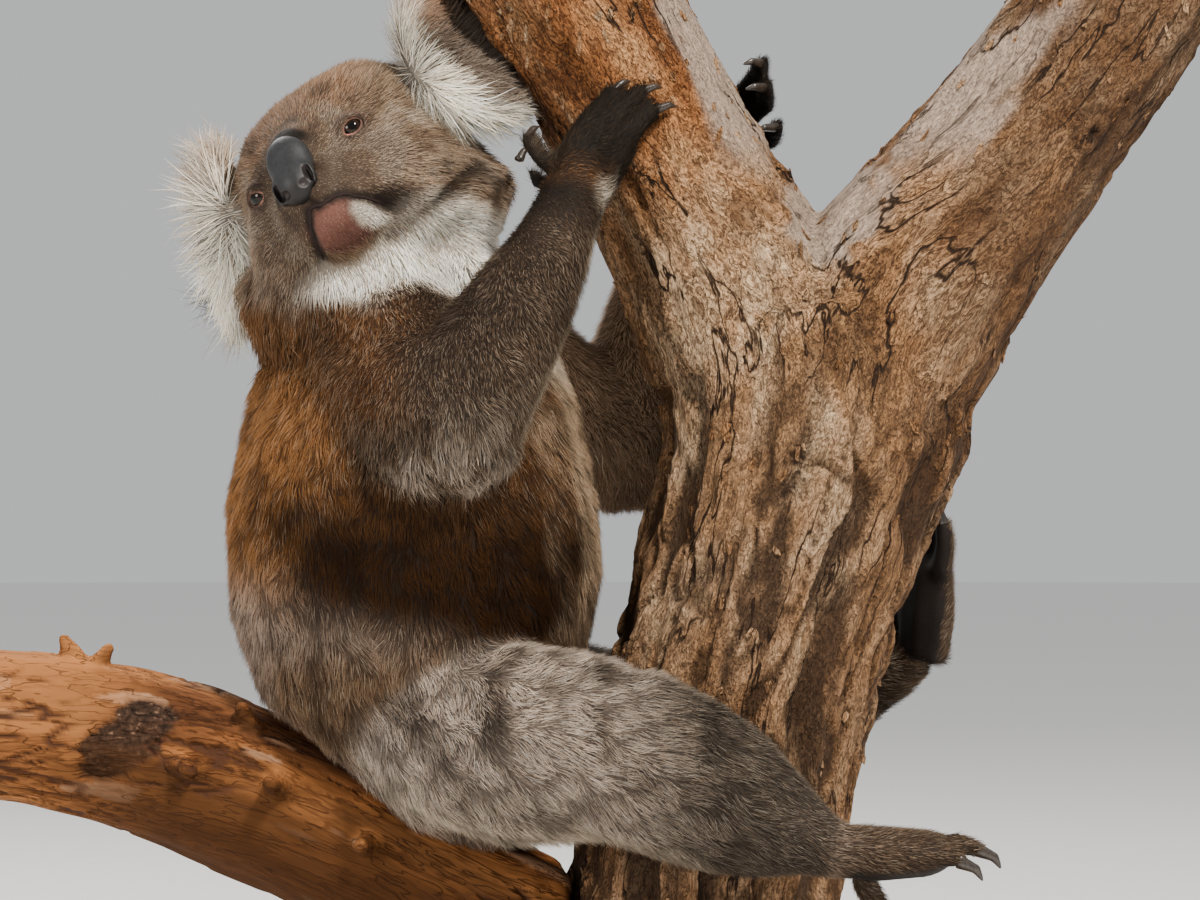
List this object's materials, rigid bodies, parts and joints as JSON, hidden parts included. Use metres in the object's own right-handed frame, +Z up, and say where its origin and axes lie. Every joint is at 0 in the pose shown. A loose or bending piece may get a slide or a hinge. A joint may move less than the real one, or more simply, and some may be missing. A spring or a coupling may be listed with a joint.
{
  "type": "koala clinging to a forked trunk, still life-size model on a display stand",
  "caption": "Still life-size koala seated on a side branch and hugging a forked trunk, head turned over its shoulder, held by rods on a flat display base.",
  "frame": {"origin": "centre of the display base's underside", "axes": "+Z up; +X the way the koala's chest faces, towards the trunk; -Y the koala's right side, which faces the viewer"},
  "size_m": [0.8129, 0.3473, 0.7953],
  "materials": {
    "coat": "thick woolly fur, grey-brown to rust with pale undersides",
    "paw_skin": "short dark fur over bare dark pads",
    "nose_skin": "bare slate-black pebbled skin, satin",
    "eye": "wet dark brown",
    "claw": "polished black horn",
    "bark": "rough furrowed bark",
    "branch_wood": "smooth weathered wood with peeling bark",
    "base_wood": "dark stained and satin lacquered",
    "rod_steel": "brushed"
  },
  "bodies": {
    "root": {"stand_rod_1": "rod_steel", "stand_rod_2": "rod_steel", "stand_base": "base_wood", "perch_trunk": "bark", "perch_fork_left": "bark", "perch_fork_right": "bark", "perch_branch": "branch_wood", "claw_hand_right_1": "claw", "claw_hand_right_2": "claw", "claw_hand_right_3": "claw", "claw_hand_right_4": "claw", "claw_hand_right_5": "claw", "hand_right": "paw_skin", "claw_hand_left_1": "claw", "claw_hand_left_2": "claw", "claw_hand_left_3": "claw", "claw_hand_left_4": "claw", "claw_hand_left_5": "claw", "hand_left": "paw_skin", "claw_foot_right_1": "claw", "claw_foot_right_2": "claw", "claw_foot_right_3": "claw", "claw_foot_right_4": "claw", "foot_right": "paw_skin", "claw_foot_left_1": "claw", "claw_foot_left_2": "claw", "claw_foot_left_3": "claw", "claw_foot_left_4": "claw", "foot_left": "paw_skin", "forearm_right": "coat", "upper_arm_right": "coat", "forearm_left": "coat", "upper_arm_left": "coat", "shank_right": "coat", "thigh_right": "coat", "shank_left": "coat", "thigh_left": "coat", "eye_left": "eye", "eye_right": "eye", "nose": "nose_skin", "head": "coat", "ear_left": "coat", "ear_right": "coat", "neck": "coat", "chest": "coat", "rump": "coat"}
  },
  "joints": []
}
